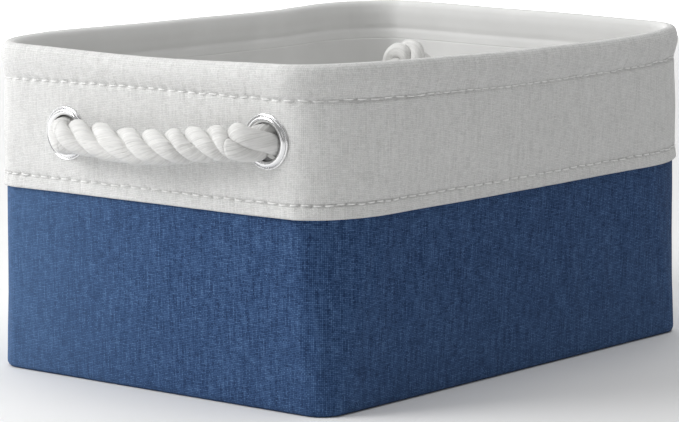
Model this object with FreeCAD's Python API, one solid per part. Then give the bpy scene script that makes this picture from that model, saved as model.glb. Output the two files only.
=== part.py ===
"""Collapsible fabric storage bin with a canvas cuff and two rope handles.

Millimetres, +Z up. The origin is the centre of the underside. +X runs along the long side, so
the rope handles are on the two short ends, at -X (left) and +X (right).
"""

import FreeCAD, Part
import math
import os

V = FreeCAD.Vector

# Driving dimensions of the bin: a rounded rectangle at the floor, flaring at the rim to one whose
# corners are quarter ellipses, longer along the long side
height = 170.0
base_length = 312.0
base_width = 226.0
base_corner = 15.0
rim_length = 322.0
rim_width = 250.0
rim_corner_along = 80.0
rim_corner_across = 38.0

# Wall build-up, as depths below the outer face of the cuff
layer_gap = 0.1
canvas_thickness = 1.0
body_depth = canvas_thickness + layer_gap
padding_depth = body_depth + canvas_thickness + layer_gap
padding_thickness = 2.0
lining_depth = padding_depth + padding_thickness + layer_gap
lining_thickness = 0.6
wall_depth = lining_depth + lining_thickness
hem_depth = wall_depth + 1.0

# Heights in the wall
cuff_bottom = 97.0
cuff_seam_height = 104.0
body_top = 108.0
hem_stitch_height = 152.0
hem_flap_bottom = 149.0
padding_top = 158.0
crown_radius = hem_depth / 2.0
crown_height = height - crown_radius
fold_steps = 4
fold_land = 0.2

# Floor build-up
board_thickness = 2.0
board_bottom = canvas_thickness + layer_gap
floor_lining_bottom = board_bottom + board_thickness + layer_gap
floor_top = floor_lining_bottom + lining_thickness

# Steel ring in the hem, joined by a crimped sleeve
wire_radius = 1.2
wire_height = 163.5
wire_end_gap = 1.0
sleeve_radius = 1.75
sleeve_length = 24.0
sleeve_clearance = 0.05

# Sewing thread
thread_radius = 0.4
stitch_pitch = 6.8
stitch_length = 4.8
stitch_gap = 0.2

# Rope handles: the eyelets sit off centre, the rear one a little lower than the front one
eyelet_span = 133.0
eyelet_drop = 6.0
handle_middle_y = -13.0
handle_middle_z = 130.2
rope_radius = 8.8
elbow_radius = 10.0
elbow_start = 1.2
swing_gap = 0.3
bow_out = 4.5
bow_down = 3.0
pull_travel = 18.0

# Eyelets and their washers
bore_radius = 9.2
barrel_wall = 0.7
flange_radius = 13.8
flange_thickness = 1.6
lip_radius = 11.9
lip_thickness = 0.75
washer_thickness = 0.8
hole_clearance = 0.3

# Knots that stop the rope inside the bin
knot_radius = 22.0
knot_thickness = 30.0
knot_round = 13.0
tail_length = 20.0
whipping_length = 8.0
whipping_thickness = 0.7


def blend_up(low, high, z):
    """A size that changes evenly from the floor to the rim."""
    return low + (high - low) * z / height


def outline(z, depth):
    """Rectangle with elliptical corners at height z, depth below the outer face of the cuff."""
    a = blend_up(base_length, rim_length, z) / 2.0 - depth
    b = blend_up(base_width, rim_width, z) / 2.0 - depth
    p = blend_up(base_corner, rim_corner_along, z) - depth
    q = blend_up(base_corner, rim_corner_across, z) - depth
    corners = [
        (V(a, q - b, z), V(a, b - q, z), V(a, b, z), V(a - p, b, z)),
        (V(a - p, b, z), V(p - a, b, z), V(-a, b, z), V(-a, b - q, z)),
        (V(-a, b - q, z), V(-a, q - b, z), V(-a, -b, z), V(p - a, -b, z)),
        (V(p - a, -b, z), V(a - p, -b, z), V(a, -b, z), V(a, q - b, z)),
    ]
    edges = []
    for side_start, side_end, apex, corner_end in corners:
        edges.append(Part.LineSegment(side_start, side_end).toShape())
        edges.append(quarter_ellipse(side_end, apex, corner_end))
    return Part.Wire(edges)


def quarter_ellipse(start, apex, end):
    """Exact quarter ellipse between two points, towards the corner where its end tangents meet."""
    curve = Part.BezierCurve()
    curve.setPoles([start, apex, end])
    curve.setWeight(2, math.sqrt(0.5))
    return curve.toShape()


def filled(z_low, z_high, depth):
    """Solid bin shape between two heights."""
    return Part.makeLoft([outline(z_low, depth), outline(z_high, depth)], True, True)


def wall(z_low, z_high, depth, thickness):
    """One layer of the wall as a thin ring, open at top and bottom."""
    inner = filled(z_low - 1.0, z_high + 1.0, depth + thickness)
    return filled(z_low, z_high, depth).cut(inner)


def ring_along(path, profile):
    """Closed or open sweep of a planar profile wire along a wire."""
    pipe = Part.BRepOffsetAPI.MakePipeShell(path)
    pipe.setTransitionMode(1)
    pipe.add(profile)
    pipe.build()
    pipe.makeSolid()
    return pipe.shape()


# ---------------------------------------------------------------- handle frame


def left_wall_x(z):
    """Outer face of the left end wall."""
    return -blend_up(base_length, rim_length, z) / 2.0


def handle_frame():
    """Placement from handle axes (out, rear eyelet to front eyelet, up) to the left end wall."""
    lean = math.atan2((rim_length - base_length) / 2.0, height)
    up = V(-math.sin(lean), 0, math.cos(lean))
    out = V(-math.cos(lean), 0, -math.sin(lean))
    tilt = math.asin(eyelet_drop / eyelet_span)
    along = V(0, -math.cos(tilt), 0) + up * math.sin(tilt)
    rise = out.cross(along)
    middle = V(left_wall_x(handle_middle_z), handle_middle_y, handle_middle_z)
    matrix = FreeCAD.Matrix(
        out.x, along.x, rise.x, middle.x,
        out.y, along.y, rise.y, middle.y,
        out.z, along.z, rise.z, middle.z,
    )
    return FreeCAD.Placement(matrix)


def on_end(shape, end):
    """Shape from handle axes to the left end wall, or mirrored to the right one."""
    placed = shape.copy()
    placed.transformShape(handle_frame().toMatrix(), True)
    if end == "right":
        placed = placed.mirror(V(0, 0, 0), V(1, 0, 0))
    return placed


def side_sign(side):
    """Side of the handle's middle, along the line from the rear eyelet to the front one."""
    return 1.0 if side == "front" else -1.0


def eyelet_axis_rod(radius, inner, outer, side):
    """Cylinder on an eyelet's axis, between two distances out from the wall face."""
    base = V(inner, side_sign(side) * eyelet_span / 2.0, 0)
    return Part.makeCylinder(radius, outer - inner, base, V(1, 0, 0))


def pierced(shape, radius, inner, outer):
    """The shape cut at all four eyelets, between two distances out from the wall face."""
    for end in ("left", "right"):
        for side in ("front", "rear"):
            shape = shape.cut(on_end(eyelet_axis_rod(radius, inner, outer, side), end))
    return shape


def with_barrel_holes(layer):
    """Holes through a wall layer for the eyelet barrels."""
    return pierced(layer, bore_radius + barrel_wall + hole_clearance, -3.0 * wall_depth, wall_depth)


def with_washer_seats(layer):
    """Room for the flat washers where a wall layer starts to curve in at a corner."""
    return pierced(layer, flange_radius + hole_clearance, -3.0 * wall_depth, -wall_depth)


# ---------------------------------------------------------------- fabric and boards


def base_fabric():
    """Blue canvas panel under the bin."""
    return filled(0.0, canvas_thickness, body_depth)


def base_board():
    """Stiff board between the base canvas and the floor lining."""
    return filled(board_bottom, board_bottom + board_thickness, lining_depth + layer_gap)


def floor_lining():
    """Lining panel over the board."""
    return filled(floor_lining_bottom, floor_top, lining_depth)


def body_fabric():
    """Blue canvas wall, tucked under the cuff."""
    return wall(board_bottom, body_top, body_depth, canvas_thickness)


def wall_padding():
    """Stiff felt in the lower wall, the part that folds."""
    return wall(board_bottom, cuff_seam_height - layer_gap, padding_depth, padding_thickness)


def wall_lining():
    """Lining of the lower wall."""
    return wall(floor_top + layer_gap, cuff_seam_height - layer_gap, lining_depth, lining_thickness)


def cuff_padding():
    """Stiff felt behind the cuff."""
    ring = wall(cuff_seam_height + layer_gap, padding_top, padding_depth, padding_thickness)
    return with_washer_seats(with_barrel_holes(ring))


def cuff_lining():
    """Lining behind the cuff, up into the hem."""
    top = hem_flap_bottom - layer_gap
    ring = wall(cuff_seam_height + layer_gap, top, lining_depth, lining_thickness)
    return with_washer_seats(with_barrel_holes(ring))


def cuff_band():
    """White canvas cuff: the outer band, folded over the rim and down inside as a hem."""
    outer_face = stacked(fold_levels(cuff_bottom, 0.0, crown_radius, 1))
    mouth = stacked(past_the_top(fold_levels(hem_flap_bottom - 1.0, hem_depth, crown_radius, -1)))
    behind_band = filled(cuff_bottom - 1.0, hem_flap_bottom, canvas_thickness)
    return with_barrel_holes(outer_face.cut(mouth).cut(hem_tunnel()).cut(behind_band))


def hem_tunnel():
    """Space inside the folded hem, where the rim wire lies."""
    radius = crown_radius - canvas_thickness
    low = hem_flap_bottom - 1.0
    outer_side = stacked(fold_levels(low, canvas_thickness, radius, 1))
    inner_levels = fold_levels(low, hem_depth - canvas_thickness, radius, -1)
    return outer_side.cut(stacked(past_the_top(inner_levels)))


def fold_levels(low, face_depth, radius, side):
    """Heights and depths up one face of the hem and over the rim; side is 1 outside, -1 inside."""
    levels = [(low, face_depth)]
    for step in range(fold_steps + 1):
        angle = math.pi / 2.0 * step / fold_steps
        over = (radius - fold_land) * (1.0 - math.cos(angle))
        levels.append((crown_height + radius * math.sin(angle), face_depth + side * over))
    return levels


def past_the_top(levels):
    """The same levels, carried on straight above the last one."""
    top, depth = levels[-1]
    return levels + [(top + 2.0, depth)]


def stacked(levels):
    """Solid through outlines at a list of heights and depths."""
    return Part.makeLoft([outline(z, depth) for z, depth in levels], True, True)


# ---------------------------------------------------------------- rim wire


def rim_wire():
    """Steel ring that holds the rim open, with its two ends meeting at the middle of the rear."""
    path = outline(wire_height, crown_radius)
    circle = Part.Wire(Part.makeCircle(wire_radius, path.OrderedVertexes[0].Point, V(0, 1, 0)))
    ring = ring_along(path, circle)
    slot = Part.makeBox(wire_end_gap, 20.0, 20.0, V(-wire_end_gap / 2.0, sleeve_y() - 10.0, wire_height - 10.0))
    return ring.cut(slot)


def sleeve_y():
    """Where the wire crosses the middle of the rear wall."""
    return blend_up(base_width, rim_width, wire_height) / 2.0 - crown_radius


def rim_wire_sleeve():
    """Crimped tube over the two wire ends."""
    base = V(-sleeve_length / 2.0, sleeve_y(), wire_height)
    tube = Part.makeCylinder(sleeve_radius, sleeve_length, base, V(1, 0, 0))
    return tube.cut(Part.makeCylinder(wire_radius + sleeve_clearance, sleeve_length, base, V(1, 0, 0)))


# ---------------------------------------------------------------- stitching


def stitches(z):
    """A row of separate thread stitches round the cuff at height z, as one group."""
    path = outline(z, -thread_radius - stitch_gap)
    count = int(round(path.Length / stitch_pitch))
    places = path.discretize(Number=2 * count + 1)
    group = []
    for i in range(count):
        a = places[2 * i]
        b = places[2 * i + 1]
        direction = (b - a).normalize()
        base = (a + b) * 0.5 - direction * (stitch_length / 2.0)
        group.append(Part.makeCylinder(thread_radius, stitch_length, base, direction))
    return Part.makeCompound(group)


# ---------------------------------------------------------------- eyelets


def revolved(points, side):
    """Closed outline of (distance out, radius) points turned about an eyelet's axis."""
    y = side_sign(side) * eyelet_span / 2.0
    corners = [V(u, y + r, 0) for u, r in points]
    face = Part.Face(Part.makePolygon(corners + corners[:1]))
    return face.revolve(V(0, y, 0), V(1, 0, 0), 360.0)


def eyelet(side):
    """Metal eyelet: domed outer flange, barrel through the wall and a rolled inner lip."""
    barrel = bore_radius + barrel_wall
    back = -(wall_depth + layer_gap + washer_thickness + layer_gap)
    lip = back - lip_thickness
    face = 0.15
    points = [
        (lip, bore_radius),
        (flange_thickness * 0.55, bore_radius),
        (flange_thickness, bore_radius + 0.9),
        (flange_thickness, flange_radius - 1.9),
        (flange_thickness * 0.6, flange_radius - 0.5),
        (face, flange_radius),
        (face, barrel),
        (back, barrel),
        (back, lip_radius),
        (lip, lip_radius - 0.4),
    ]
    return revolved(points, side)


def eyelet_washer(side):
    """Flat metal washer on the lining, held by the eyelet's lip."""
    front = -(wall_depth + layer_gap)
    inner = bore_radius + barrel_wall + layer_gap
    back = front - washer_thickness
    return revolved([(front, inner), (front, flange_radius), (back, flange_radius), (back, inner)], side)


# ---------------------------------------------------------------- rope


def rounded_route(points):
    """Straight runs joined by tangent arcs, as large as the two runs at each point allow."""
    edges = []
    here = points[0]
    for before, point, after in zip(points, points[1:], points[2:]):
        back = before - point
        on = after - point
        trim = 0.45 * min(back.Length, on.Length)
        half_turn = (math.pi - back.getAngle(on)) / 2.0
        radius = trim / math.tan(half_turn)
        print(f"rope arc radius {radius:.1f} mm")
        start = point + back.normalize() * trim
        end = point + on.normalize() * trim
        bisector = (back + on).normalize()
        middle = point + bisector * (radius / math.cos(half_turn) - radius)
        edges.append(Part.LineSegment(here, start).toShape())
        edges.append(Part.Arc(start, middle, end).toShape())
        here = end
    edges.append(Part.LineSegment(here, points[-1]).toShape())
    return Part.Wire(edges)


def rope_along(path):
    """Plain round rope along a wire, checked against section times length."""
    first = path.OrderedEdges[0]
    start = path.OrderedVertexes[0].Point
    circle = Part.Wire(Part.makeCircle(rope_radius, start, first.tangentAt(first.FirstParameter)))
    rope = ring_along(path, circle)
    expected = math.pi * rope_radius**2 * path.Length
    print(f"rope run {path.Length:.1f} mm, volume {rope.Volume / expected:.4f} of section times length")
    return rope


def swing_offset():
    """How far out the swing axis stands from the wall face."""
    return elbow_start + elbow_radius


def arch_half():
    """Half the length of the swinging stretch of rope."""
    return eyelet_span / 2.0 - elbow_radius - swing_gap


def rope_arch():
    """The stretch of rope between the two elbows, bowed out and down in the middle."""
    out = swing_offset()
    end = arch_half()
    route = [
        V(out, -end, 0),
        V(out, -end * 0.72, 0),
        V(out + bow_out, -end * 0.24, -bow_down),
        V(out + bow_out, end * 0.24, -bow_down),
        V(out, end * 0.72, 0),
        V(out, end, 0),
    ]
    return rope_along(rounded_route(route))


def knot_face():
    """Face of the knot towards the wall, as a distance out from the wall face."""
    lip = wall_depth + 2 * layer_gap + washer_thickness + lip_thickness
    return -(lip + pull_travel + 0.4)


def rope_leg(side):
    """Rope from the knot through the eyelet, turning along the wall to meet the arch."""
    sign = side_sign(side)
    y = sign * eyelet_span / 2.0
    start = V(knot_face(), y, 0)
    bend_start = V(elbow_start, y, 0)
    centre = V(elbow_start, y - sign * elbow_radius, 0)
    diagonal = math.sqrt(0.5) * elbow_radius
    middle = centre + V(diagonal, sign * diagonal, 0)
    end = centre + V(elbow_radius, 0, 0)
    path = Part.Wire(
        [
            Part.LineSegment(start, bend_start).toShape(),
            Part.Arc(bend_start, middle, end).toShape(),
        ]
    )
    print(f"rope arc radius {elbow_radius:.1f} mm, where it turns hard at the eyelet")
    return rope_along(path)


def knot(side):
    """Overhand knot as a plain rounded cushion on the rope's line."""
    back = knot_face() - knot_thickness
    y = side_sign(side) * eyelet_span / 2.0
    block = Part.makeCylinder(knot_radius, knot_thickness, V(back, y, 0), V(1, 0, 0))
    rims = [e for e in block.Edges if isinstance(e.Curve, Part.Circle)]
    return block.makeFillet(knot_round, rims)


def rope_tail(side):
    """Cut end of the rope beyond the knot."""
    back = knot_face() - knot_thickness
    return eyelet_axis_rod(rope_radius, back - tail_length, back, side)


def whipping(side):
    """Thread bound round the cut end so that it doesn't unlay."""
    end = knot_face() - knot_thickness - tail_length
    inner = rope_radius + sleeve_clearance
    outer = inner + whipping_thickness
    tube = eyelet_axis_rod(outer, end + 1.0, end + 1.0 + whipping_length, side)
    return tube.cut(eyelet_axis_rod(inner, end, end + 2.0 + whipping_length, side))


# ---------------------------------------------------------------- export


def fabric_parts():
    """Everything but the handles and eyelets."""
    return {
        "base_fabric": base_fabric(),
        "base_board": base_board(),
        "floor_lining": floor_lining(),
        "body_fabric": body_fabric(),
        "wall_padding": wall_padding(),
        "wall_lining": wall_lining(),
        "cuff_band": cuff_band(),
        "cuff_padding": cuff_padding(),
        "cuff_lining": cuff_lining(),
        "rim_wire": rim_wire(),
        "rim_wire_sleeve": rim_wire_sleeve(),
        "hem_stitching": stitches(hem_stitch_height),
        "cuff_stitching": stitches(cuff_seam_height),
    }


def handle_parts(end):
    """One rope handle with its two eyelets."""
    parts = {f"{end}_rope_arch": on_end(rope_arch(), end)}
    makers = {
        "eyelet": eyelet,
        "eyelet_washer": eyelet_washer,
        "rope_leg": rope_leg,
        "knot": knot,
        "rope_tail": rope_tail,
        "whipping": whipping,
    }
    for side in ("front", "rear"):
        for name, maker in makers.items():
            parts[f"{end}_{side}_{name}"] = on_end(maker(side), end)
    return parts


def main():
    os.makedirs("parts", exist_ok=True)
    parts = fabric_parts()
    for end in ("left", "right"):
        parts.update(handle_parts(end))
    for name, shape in parts.items():
        shape.exportStep(f"parts/{name}.step")
        box = shape.BoundBox
        print(f"{name}: {len(shape.Solids)} solids, valid {shape.isValid()}, volume {shape.Volume:.0f}, "
              f"z {box.ZMin:.2f} to {box.ZMax:.2f}")


main()
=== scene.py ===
"""Looks of the fabric storage bin: canvas walls, sewn cuff, chrome eyelets and laid rope handles.

Sizes in the tables below are millimetres in the CAD frame; meshes are written in metres. Places
round the wall are given as s, the distance round the bin at the height of the eyelets.
"""

import bpy
import math
import numpy as np
from mathutils import Matrix, Vector


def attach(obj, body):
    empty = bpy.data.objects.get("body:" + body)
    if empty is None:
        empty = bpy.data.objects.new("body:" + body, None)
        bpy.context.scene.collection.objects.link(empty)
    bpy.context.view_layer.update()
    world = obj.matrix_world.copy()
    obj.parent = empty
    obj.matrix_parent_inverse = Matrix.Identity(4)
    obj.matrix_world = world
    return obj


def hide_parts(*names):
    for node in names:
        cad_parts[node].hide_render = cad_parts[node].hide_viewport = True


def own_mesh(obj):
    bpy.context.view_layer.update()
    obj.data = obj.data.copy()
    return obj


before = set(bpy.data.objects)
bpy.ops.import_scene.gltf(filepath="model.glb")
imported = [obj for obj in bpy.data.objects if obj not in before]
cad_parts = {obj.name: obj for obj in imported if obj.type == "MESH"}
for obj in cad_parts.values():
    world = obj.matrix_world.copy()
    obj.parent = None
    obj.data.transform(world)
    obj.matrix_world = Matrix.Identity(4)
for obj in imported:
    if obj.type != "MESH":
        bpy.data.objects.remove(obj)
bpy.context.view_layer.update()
MM = 0.001
TAU = 2.0 * math.pi

# Bin shape, as in the CAD: half length, half width and corner sizes at the floor and at the rim
HEIGHT = 170.0
FLOOR_SIZES = (156.0, 113.0, 15.0, 15.0)
RIM_SIZES = (161.0, 125.0, 80.0, 38.0)
CUFF_BOTTOM = 97.0
SEAM_Z = 104.0
BODY_TOP = 108.0
HEM_STITCH_Z = 152.0
HEM_FLAP_BOTTOM = 149.0
PADDING_TOP = 158.0
BODY_DEPTH = 1.1
BOTTOM_RADIUS = 3.2
PADDING_DEPTH = 2.2
LINING_DEPTH = 4.3
HEM_DEPTH = 5.9
CROWN_RADIUS = 2.95
CROWN_Z = HEIGHT - CROWN_RADIUS
LAYER_BOTTOM = 1.1
LINING_BOTTOM = 3.9
LOWER_TOP = 103.9
UPPER_BOTTOM = 104.1
UPPER_LINING_TOP = 148.9

# Thickness of each cloth, and how far its inner face follows dips of the outer one
CANVAS_THICKNESS = 1.0
FELT_THICKNESS = 2.0
LINING_THICKNESS = 0.6
INNER_DIP = 0.05
EDGE_BULGE = 0.4

# Sewing
STITCHES = 155
STITCH_LENGTH = 4.8
STITCH_OVERRUN = 0.35
THREAD_RADIUS = 0.38
THREAD_STEPS = 12
THREAD_SIDES = 8
CUFF_COLUMNS = 8
LAYER_COLUMNS = 6
PANEL_COLUMNS = 4

# Handles
EYELET_SPAN = 133.0
EYELET_DROP = 6.0
HANDLE_MIDDLE_Y = -13.0
HANDLE_MIDDLE_Z = 130.2
HOLE_RADIUS = 11.6
EYELET_SEGMENTS = 96
BORE_ROWS = (0, 27, 28, 29, 30)
ROPE_RADIUS = 8.8
ROPE_SIDES = 144
FIBRE_TWIST = 0.031
ELBOW_RADIUS = 10.0
ELBOW_START = 1.2
JOIN_V = 56.35
KNOT_START = 25.05
KNOT_END = 55.05
TAIL_END = 75.05
BINDING_START = -66.0
BINDING_END = -74.0
BINDING_TURN = 0.8
BINDING_RADII = (8.2, 9.0, 0.5)
BINDING_SEGMENTS = 72
BOUND_MIDDLE = -69.5


# ---- camera and view


def show(name, data):
    """New object in the scene."""
    item = bpy.data.objects.new(name, data)
    bpy.context.scene.collection.objects.link(item)
    return item


def add_camera():
    """Camera that matches the reference view."""
    azimuth, elevation, roll = (math.radians(turn) for turn in (-50.62845, 8.37345, -0.13562))
    position = (-1.3472, -1.0990, 0.3298)
    back = Vector((math.sin(azimuth) * math.cos(elevation),
                   -math.cos(azimuth) * math.cos(elevation),
                   math.sin(elevation)))
    right = Vector((math.cos(azimuth), math.sin(azimuth), 0.0))
    up = back.cross(right)
    rolled_right = right * math.cos(roll) + up * math.sin(roll)
    rolled_up = up * math.cos(roll) - right * math.sin(roll)
    turn = Matrix((rolled_right, rolled_up, back)).transposed()
    camera = bpy.data.cameras.new("camera")
    camera.lens = 174.28
    camera.sensor_width = 36.0
    camera.clip_end = 20.0
    holder = show("camera", camera)
    holder.matrix_world = Matrix.Translation(position) @ turn.to_4x4()
    bpy.context.scene.camera = holder


add_camera()
bpy.context.scene.view_settings.view_transform = "Standard"


# ---- node materials


class Nodes:
    """Short way to build a node material on one Principled shader."""

    def __init__(self, name):
        self.material = bpy.data.materials.new(name)
        self.material.use_nodes = True
        self.tree = self.material.node_tree
        self.shader = self.tree.nodes["Principled BSDF"]

    def add(self, kind, values=None, **settings):
        node = self.tree.nodes.new(kind)
        for key, value in settings.items():
            setattr(node, key, value)
        for key, value in (values or {}).items():
            self.connect(value, node.inputs[key])
        return node

    def connect(self, value, socket):
        if isinstance(value, bpy.types.NodeSocket):
            self.tree.links.new(value, socket)
        else:
            socket.default_value = value

    def math(self, operation, a, b=0.0, c=0.0):
        return self.add("ShaderNodeMath", {0: a, 1: b, 2: c}, operation=operation).outputs[0]

    def metres(self, source):
        """Surface coordinates in metres: the sewn-flat UV map, or the object's own frame."""
        if source == "flat":
            return self.add("ShaderNodeUVMap", uv_map="flat").outputs[0]
        return self.add("ShaderNodeTexCoord").outputs["Object"]

    def noise(self, coords, scale, detail=2.0, stretch=(1.0, 1.0, 1.0)):
        mapped = self.add("ShaderNodeMapping", {"Vector": coords, "Scale": stretch}).outputs[0]
        values = {"Vector": mapped, "Scale": scale, "Detail": detail}
        return self.add("ShaderNodeTexNoise", values).outputs[0]

    def ramp(self, value, stops):
        node = self.add("ShaderNodeValToRGB", {0: value})
        ramp = node.color_ramp
        for element, (position, colour) in zip(ramp.elements, (stops[0], stops[-1])):
            element.position = position
            element.color = (*colour, 1.0)
        for position, colour in stops[1:-1]:
            ramp.elements.new(position).color = (*colour, 1.0)
        return node.outputs[0]

    def mix(self, share, a, b, blend="MIX"):
        node = self.add("ShaderNodeMix", data_type="RGBA", blend_type=blend)
        self.connect(share, node.inputs[0])
        self.connect(a, node.inputs[6])
        self.connect(b, node.inputs[7])
        return node.outputs[2]

    def bump(self, height, distance, strength=1.0):
        node = self.add("ShaderNodeBump", {"Height": height, "Distance": distance, "Strength": strength})
        self.tree.links.new(node.outputs[0], self.shader.inputs["Normal"])

    def finish(self, colour, roughness, **constants):
        self.connect(colour, self.shader.inputs["Base Color"])
        self.connect(roughness, self.shader.inputs["Roughness"])
        for key, value in constants.items():
            self.shader.inputs[key.replace("_", " ")].default_value = value
        return self.material


# The weave: how far a yarn keeps its shade, upright and across, and the distance between yarns
CANVAS_RUN = 8.0 * MM
LINING_RUN = 20.0 * MM
UPRIGHT_RUN = 1.6
ACROSS_RUN = 0.6
YARN_STRIDE = 3.37
CANVAS_PITCH = 0.9 * MM
LINING_PITCH = 0.5 * MM


def yarn_tone(m, index, along, seed, run):
    """Shade of one yarn, changing slowly along it and at once from yarn to yarn."""
    place_on = m.add("ShaderNodeCombineXYZ", {0: m.math("MULTIPLY_ADD", index, YARN_STRIDE, seed),
                                              1: m.math("MULTIPLY", along, 1.0 / run)}).outputs[0]
    return m.add("ShaderNodeTexNoise", {"Vector": place_on, "Scale": 1.0, "Detail": 1.0}).outputs[0]


def plain_weave(m, coords, pitch, run):
    """Height of a plain weave, and the shade of whichever yarn lies on top."""
    parts = m.add("ShaderNodeSeparateXYZ", {0: coords})
    waves = []
    tones = []
    for axis, reach in ((0, UPRIGHT_RUN * run), (1, ACROSS_RUN * run)):
        count = m.math("MULTIPLY", parts.outputs[axis], 1.0 / pitch)
        waves.append(m.math("SINE", m.math("MULTIPLY", count, math.pi)))
        seed = 17.1 * axis
        tones.append(yarn_tone(m, m.math("FLOOR", count), parts.outputs[1 - axis], seed, reach))
    over = m.math("MULTIPLY_ADD", m.math("MULTIPLY", waves[0], waves[1]), 0.5, 0.5)
    under = m.math("SUBTRACT", 1.0, over)
    warp = m.math("MULTIPLY", m.math("ABSOLUTE", waves[0]), over)
    weft = m.math("MULTIPLY", m.math("ABSOLUTE", waves[1]), under)
    height = m.math("MAXIMUM", warp, weft)
    tone = m.math("ADD", m.math("MULTIPLY", tones[0], over), m.math("MULTIPLY", tones[1], under))
    return height, tone


def canvas(name, source, stops, streak, bump, tint):
    """Woven canvas whose uneven yarns make a fine cross-hatch of lighter and darker lines, with painted
    shade in the hollows between yarns.
    """
    m = Nodes(name)
    coords = m.metres(source)
    height, yarns = plain_weave(m, coords, CANVAS_PITCH, CANVAS_RUN)
    patchy = m.noise(coords, 38.0, 3.0)
    flecks = m.noise(coords, 1.2 / CANVAS_PITCH, 1.0)
    tone = 0.5
    # Yarn, patch and fleck tones, and last the weave height: painted shade darkening its hollows
    uneven = ((yarns, 0.5, streak), (patchy, 0.5, 0.12), (flecks, 0.5, 0.65), (height, 0.6, 0.5))
    for part, middle, gain in uneven:
        tone = m.math("MULTIPLY_ADD", m.math("SUBTRACT", part, middle), gain, tone)
    # The tint attribute mixes in painted shade on the cuff, and painted light and a lower-wall lightening
    # on the blue
    share = m.add("ShaderNodeAttribute", attribute_name="tint").outputs["Fac"]
    colour = m.mix(share, m.ramp(tone, stops), tint)
    m.bump(m.math("ADD", height, yarns), bump)
    roughness = m.math("MULTIPLY_ADD", yarns, 0.2, 0.75)
    return m.finish(colour, roughness, Specular_IOR_Level=0.2)


def blue_canvas(source):
    """Deep blue linen-weave canvas."""
    stops = ((0.15, (0.009, 0.026, 0.082)), (0.5, (0.032, 0.077, 0.186)), (0.85, (0.098, 0.178, 0.340)))
    # Lighter blue the wall's tint mixes in: painted light round the rear-left corner, and lighter low on
    # the walls away from it
    painted_light_blue = (0.115, 0.205, 0.370, 1.0)
    return canvas("blue_canvas_" + source, source, stops, streak=1.35, bump=0.16 * MM, tint=painted_light_blue)


def white_canvas():
    """Off-white canvas of the cuff."""
    stops = ((0.15, (0.60, 0.60, 0.59)), (0.5, (0.76, 0.76, 0.75)), (0.85, (0.86, 0.86, 0.85)))
    # Colour the cuff's tint mixes in: painted shadow in the needle holes and painted shade along the
    # stitch rows
    painted_shade = (0.16, 0.15, 0.14, 1.0)
    return canvas("white_canvas", "flat", stops, streak=1.05, bump=0.2 * MM, tint=painted_shade)


def lining_cloth(source):
    """Smooth light lining with a faint weave and scuffs."""
    m = Nodes("lining_" + source)
    coords = m.metres(source)
    height = plain_weave(m, coords, LINING_PITCH, LINING_RUN)[0]
    patchy = m.noise(coords, 25.0, 3.0)
    colour = m.ramp(patchy, ((0.25, (0.72, 0.72, 0.71)), (0.75, (0.80, 0.80, 0.79))))
    m.bump(m.math("ADD", height, m.math("MULTIPLY", patchy, 2.0)), 0.04 * MM)
    return m.finish(colour, m.math("MULTIPLY_ADD", patchy, 0.3, 0.45), Specular_IOR_Level=0.3)


def speckled(name, scale, detail, colours, bump, gain, roughness):
    """Material whose shade, height and roughness all follow one fine noise."""
    m = Nodes(name)
    specks = m.noise(m.metres("object"), scale, detail)
    m.bump(specks, bump)
    colour = m.ramp(specks, ((0.3, colours[0]), (0.7, colours[1])))
    return m.finish(colour, m.math("MULTIPLY_ADD", specks, gain, roughness))


def sewing_thread():
    """White thread, slightly uneven."""
    colours = ((0.86, 0.86, 0.85), (0.96, 0.96, 0.95))
    return speckled("sewing_thread", 900.0, 2.0, colours, bump=0.05 * MM, gain=0.3, roughness=0.55)


def felt():
    """Grey needle felt."""
    colours = ((0.40, 0.40, 0.38), (0.62, 0.62, 0.60))
    return speckled("felt", 900.0, 4.0, colours, bump=0.3 * MM, gain=0.1, roughness=0.88)


def board():
    """Brown greyboard with flecks."""
    colours = ((0.30, 0.25, 0.19), (0.46, 0.39, 0.30))
    return speckled("board", 500.0, 4.0, colours, bump=0.1 * MM, gain=0.1, roughness=0.82)


def cotton_rope():
    """Soft off-white cotton whose fibres run along the rope."""
    m = Nodes("cotton_rope")
    coords = m.metres("flat")
    fibres = m.noise(coords, 1500.0, 3.0, (0.06, 1.0, 1.0))
    yarns = m.noise(coords, 420.0, 2.0, (0.10, 1.0, 1.0))
    dusty = m.noise(m.metres("object"), 60.0, 3.0)
    tone = m.math("MULTIPLY_ADD", yarns, 0.35, m.math("MULTIPLY", dusty, 0.15))
    tone = m.math("MULTIPLY_ADD", fibres, 0.5, tone)
    colour = m.ramp(tone, ((0.3, (0.58, 0.575, 0.56)), (0.7, (0.90, 0.897, 0.88))))
    m.bump(m.math("ADD", fibres, yarns), 0.5 * MM)
    return m.finish(colour, m.math("MULTIPLY_ADD", fibres, 0.15, 0.8), Specular_IOR_Level=0.15,
                    Sheen_Weight=0.3)


def bright_metal(name, colour_low, colour_high, roughness, brushed):
    """Plated metal with faint scratches."""
    m = Nodes(name)
    coords = m.metres("object")
    scratches = m.noise(coords, 700.0, 3.0, (1.0, 1.0, 0.2))
    haze = m.noise(coords, 120.0, 2.0)
    colour = m.ramp(haze, ((0.3, colour_low), (0.7, colour_high)))
    m.bump(scratches, brushed)
    level = m.math("MULTIPLY_ADD", scratches, 0.12, roughness)
    return m.finish(colour, level, Metallic=1.0)


def studio_floor():
    """Plain pale floor."""
    m = Nodes("studio_floor")
    patchy = m.noise(m.metres("object"), 3.0, 2.0)
    colour = m.ramp(patchy, ((0.3, (0.88, 0.88, 0.88)), (0.7, (0.90, 0.90, 0.90))))
    return m.finish(colour, 0.9, Specular_IOR_Level=0.0)


# ---- places round the wall


# Columns in each straight and each corner of the tabled ring
TABLE_STEPS = 400
QUARTER = 2 * TABLE_STEPS


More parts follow.
